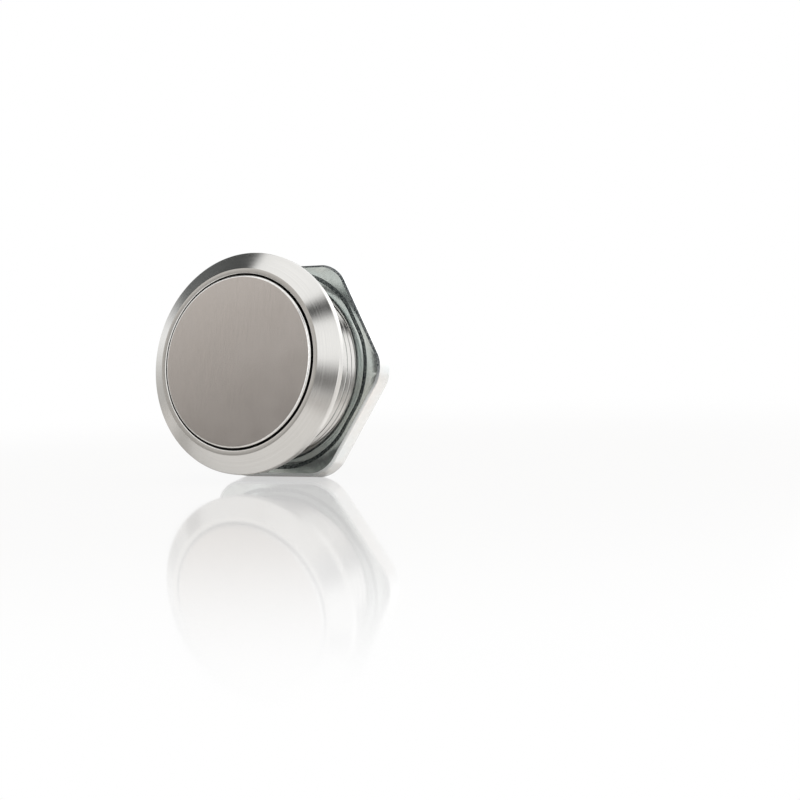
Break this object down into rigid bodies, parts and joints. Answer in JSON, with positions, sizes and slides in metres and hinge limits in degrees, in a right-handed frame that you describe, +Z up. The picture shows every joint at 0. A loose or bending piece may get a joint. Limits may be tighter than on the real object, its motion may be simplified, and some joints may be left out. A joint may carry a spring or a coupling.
{
  "type": "pushbutton switch",
  "caption": "Round stainless steel pushbutton switch for a panel hole, with a turned bezel, threaded barrel, hexagonal lock nut, changeover contacts and solder lugs.",
  "frame": {"origin": "centre of the bezel's seat on the panel", "axes": "+Y along the barrel, away from the button; +Z up; +X to the right seen from the front"},
  "size_m": [0.03, 0.0203, 0.028],
  "materials": {
    "stainless_bezel": "turned",
    "stainless_button": "fine brushed",
    "plated_nut": "bright zinc plated",
    "spring_steel": "drawn",
    "seal_rubber": "matt",
    "moulded_insulator": "moulded",
    "contact_brass": "satin",
    "contact_silver": "satin"
  },
  "bodies": {
    "housing": {"body_shell": "stainless_bezel", "panel_seal": "seal_rubber", "contact_housing": "moulded_insulator", "contact_base": "moulded_insulator", "retaining_ring": "spring_steel", "return_spring": "spring_steel", "contact_spring": "spring_steel", "terminal_nc_left": "contact_brass", "terminal_nc_right": "contact_brass", "terminal_no_left": "contact_brass", "terminal_no_right": "contact_brass", "fixed_contact_nc_left": "contact_silver", "fixed_contact_nc_right": "contact_silver", "fixed_contact_no_left": "contact_silver", "fixed_contact_no_right": "contact_silver"},
    "button": {"button_cap": "stainless_button", "cap_seal": "seal_rubber", "stem_clip": "spring_steel", "plunger_tip": "moulded_insulator"},
    "bridge": {"contact_bridge": "contact_brass", "moving_contact_left": "contact_silver", "moving_contact_right": "contact_silver"},
    "nut": {"hex_nut": "plated_nut"}
  },
  "joints": [
    {"name": "button_press", "type": "slide", "parent": "housing", "child": "button", "axis": [0, 1, 0], "range_m": [0, 0.001], "stiffness_N_per_m": 1500, "springref_m": -0.001, "deforming": ["return_spring"]},
    {"name": "bridge_slide", "type": "slide", "parent": "housing", "child": "bridge", "axis": [0, 1, 0], "range_m": [0, 0.001], "deforming": ["contact_spring"]},
    {"name": "nut_travel", "type": "slide", "parent": "housing", "child": "nut", "axis": [0, 1, 0], "range_m": [-0.0058, 0.003]}
  ],
  "couplings": [
    {"joint": "bridge_slide", "follows": "button_press", "ratio": 1}
  ]
}
